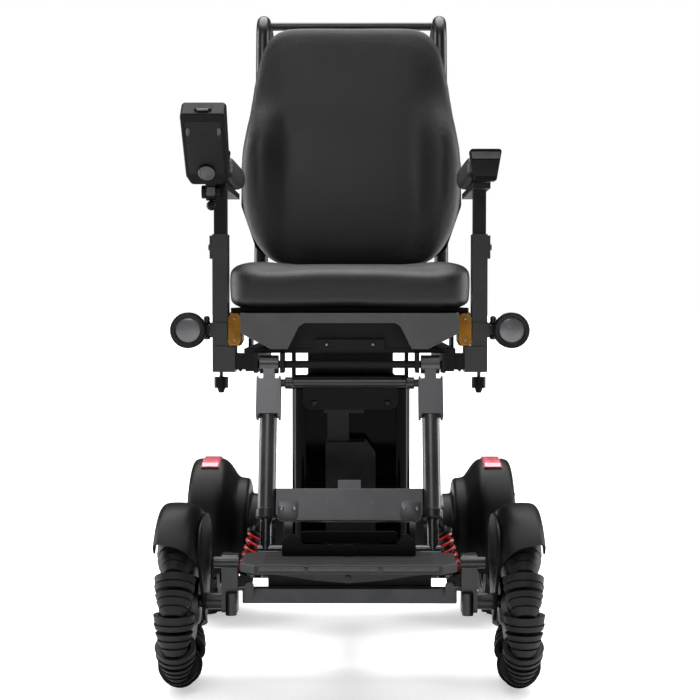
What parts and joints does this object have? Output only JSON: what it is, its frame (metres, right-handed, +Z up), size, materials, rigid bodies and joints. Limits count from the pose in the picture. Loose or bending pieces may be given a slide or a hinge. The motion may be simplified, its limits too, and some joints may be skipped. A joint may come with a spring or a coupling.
{
  "type": "power wheelchair",
  "caption": "All-terrain power wheelchair with roller front wheels, sprung front arms, driven rear wheels, lifting seat, reclining back, swing-up leg rest and joystick.",
  "frame": {"origin": "centre of the footprint, on the ground", "axes": "+X to the sitter's left, +Y to the rear, +Z up"},
  "size_m": [0.63, 0.93, 1.1681],
  "materials": {
    "frame": "satin",
    "plastic": "satin",
    "gloss": "gloss",
    "rubber": "matte",
    "tyre": "matte",
    "leather": "satin",
    "steel": "satin",
    "chrome": "gloss",
    "aluminium": "satin",
    "gold": "anodised satin",
    "spring": "gloss",
    "lens": "gloss",
    "battery": "matte"
  },
  "bodies": {
    "chassis": {"chassis_frame": "frame", "front_axle_beam": "aluminium", "power_housing": "gloss", "battery_pack": "battery", "lift_outer_column": "aluminium", "drive_cover_left": "plastic", "drive_cover_right": "plastic", "tail_lamps": "lens", "drive_motors": "steel", "shock_bodies": "aluminium", "shock_spring_left": "spring", "shock_spring_right": "spring"},
    "seat": {"lift_inner_column": "chrome", "seat_frame": "frame", "seat_pan": "plastic", "seat_cushion": "leather", "side_collars": "gold", "armrest_sleeve_left": "frame", "armrest_sleeve_right": "frame", "headlamp_clamps": "frame"},
    "armrest_left": {"armrest_post_left": "frame", "armrest_pad_left": "leather", "armrest_cap_left": "plastic"},
    "armrest_right": {"armrest_post_right": "frame", "armrest_pad_right": "leather", "armrest_cap_right": "plastic", "controller_bracket": "plastic"},
    "controller": {"controller_case": "plastic"},
    "gimbal": {"joystick_gimbal": "aluminium"},
    "stick": {"joystick": "rubber"},
    "button": {"power_button": "plastic"},
    "rocker": {"speed_rocker": "plastic"},
    "backrest": {"backrest_frame": "frame", "back_shell": "plastic", "back_cushion": "leather"},
    "leg_rest": {"leg_rest_frame": "frame", "leg_rest_panel": "frame"},
    "footrest": {"footrest_slider": "chrome"},
    "foot_platform": {"footplate": "frame", "heel_guard": "plastic"},
    "rear_wheel_left": {"rear_tyre_left": "tyre", "rear_rim_left": "aluminium"},
    "arm_left": {"suspension_arm_left": "frame", "shock_rod_left": "chrome", "front_fender_left": "plastic"},
    "front_wheel_left": {"front_hub_left": "aluminium", "front_rollers_left": "rubber"},
    "brake_left": {"brake_release_left": "plastic"},
    "knob_left": {"armrest_knob_left": "plastic"},
    "lamp_left": {"headlamp_left": "plastic"},
    "rear_wheel_right": {"rear_tyre_right": "tyre", "rear_rim_right": "aluminium"},
    "arm_right": {"suspension_arm_right": "frame", "shock_rod_right": "chrome", "front_fender_right": "plastic"},
    "front_wheel_right": {"front_hub_right": "aluminium", "front_rollers_right": "rubber"},
    "brake_right": {"brake_release_right": "plastic"},
    "knob_right": {"armrest_knob_right": "plastic"},
    "lamp_right": {"headlamp_right": "plastic"}
  },
  "joints": [
    {"name": "rear_wheel_left_spin", "type": "hinge", "parent": "chassis", "child": "rear_wheel_left", "pos_m": [0.283, 0.3, 0.14], "axis": [1, 0, 0], "continuous": true},
    {"name": "suspension_left", "type": "hinge", "parent": "chassis", "child": "arm_left", "pos_m": [0.19, -0.11, 0.16], "axis": [1, 0, 0], "range_deg": [-3, 3], "stiffness_Nm_per_rad": 1500, "deforming": ["shock_spring_left"]},
    {"name": "front_wheel_left_spin", "type": "hinge", "parent": "arm_left", "child": "front_wheel_left", "pos_m": [0.2675, -0.26, 0.136], "axis": [1, 0, 0], "continuous": true},
    {"name": "brake_release_left", "type": "hinge", "parent": "chassis", "child": "brake_left", "pos_m": [0.164, 0.224, 0.134], "axis": [0, -1, 0], "range_deg": [0, 35]},
    {"name": "armrest_height_left", "type": "slide", "parent": "seat", "child": "armrest_left", "axis": [0, 0, 1], "range_m": [-0.04, 0.06]},
    {"name": "armrest_knob_left_turn", "type": "hinge", "parent": "seat", "child": "knob_left", "pos_m": [0.213, -0.16, 0.48], "axis": [0, 0, 1], "continuous": true},
    {"name": "headlamp_swivel_left", "type": "hinge", "parent": "seat", "child": "lamp_left", "pos_m": [0.236, -0.168, 0.567], "axis": [0, 0, 1], "range_deg": [-40, 25]},
    {"name": "rear_wheel_right_spin", "type": "hinge", "parent": "chassis", "child": "rear_wheel_right", "pos_m": [-0.283, 0.3, 0.14], "axis": [1, 0, 0], "continuous": true},
    {"name": "suspension_right", "type": "hinge", "parent": "chassis", "child": "arm_right", "pos_m": [-0.19, -0.11, 0.16], "axis": [1, 0, 0], "range_deg": [-3, 3], "stiffness_Nm_per_rad": 1500, "deforming": ["shock_spring_right"]},
    {"name": "front_wheel_right_spin", "type": "hinge", "parent": "arm_right", "child": "front_wheel_right", "pos_m": [-0.2675, -0.26, 0.136], "axis": [1, 0, 0], "continuous": true},
    {"name": "brake_release_right", "type": "hinge", "parent": "chassis", "child": "brake_right", "pos_m": [-0.164, 0.224, 0.134], "axis": [0, 1, 0], "range_deg": [0, 35]},
    {"name": "armrest_height_right", "type": "slide", "parent": "seat", "child": "armrest_right", "axis": [0, 0, 1], "range_m": [-0.04, 0.06]},
    {"name": "armrest_knob_right_turn", "type": "hinge", "parent": "seat", "child": "knob_right", "pos_m": [-0.213, -0.16, 0.48], "axis": [0, 0, 1], "continuous": true},
    {"name": "headlamp_swivel_right", "type": "hinge", "parent": "seat", "child": "lamp_right", "pos_m": [-0.236, -0.168, 0.567], "axis": [0, 0, -1], "range_deg": [-40, 25]},
    {"name": "seat_lift", "type": "slide", "parent": "chassis", "child": "seat", "axis": [0, 0, 1], "range_m": [-0.04, 0.12]},
    {"name": "backrest_recline", "type": "hinge", "parent": "seat", "child": "backrest", "pos_m": [0, 0.18, 0.6], "axis": [-1, 0, 0], "range_deg": [0, 30]},
    {"name": "leg_rest_elevate", "type": "hinge", "parent": "seat", "child": "leg_rest", "pos_m": [0, -0.215, 0.512], "axis": [-1, 0, 0], "range_deg": [0, 55]},
    {"name": "footrest_length", "type": "slide", "parent": "leg_rest", "child": "footrest", "axis": [0, -0.342, -0.9397], "range_m": [0, 0.05]},
    {"name": "footplate_fold", "type": "hinge", "parent": "footrest", "child": "foot_platform", "pos_m": [0, -0.336, 0.22], "axis": [-1, 0, 0], "range_deg": [0, 60]},
    {"name": "controller_tilt", "type": "hinge", "parent": "armrest_right", "child": "controller", "pos_m": [-0.224, -0.246, 0.788], "axis": [1, 0, 0], "range_deg": [-3, 20]},
    {"name": "joystick_pitch", "type": "hinge", "parent": "controller", "child": "gimbal", "pos_m": [-0.224, -0.26679, 0.85644], "axis": [1, 0, 0], "range_deg": [-14, 14], "stiffness_Nm_per_rad": 0.6},
    {"name": "joystick_roll", "type": "hinge", "parent": "gimbal", "child": "stick", "pos_m": [-0.224, -0.26679, 0.85644], "axis": [0, -0.6428, 0.766], "range_deg": [-14, 14], "stiffness_Nm_per_rad": 0.6},
    {"name": "power_button_press", "type": "slide", "parent": "controller", "child": "button", "axis": [0, -0.766, -0.6428], "range_m": [0, 0.0015], "stiffness_N_per_m": 600, "springref_m": -0.0005},
    {"name": "speed_rocker_tip", "type": "hinge", "parent": "controller", "child": "rocker", "pos_m": [-0.205, -0.29994, 0.89128], "axis": [1, 0, 0], "range_deg": [-6, 6], "stiffness_Nm_per_rad": 0.3}
  ]
}
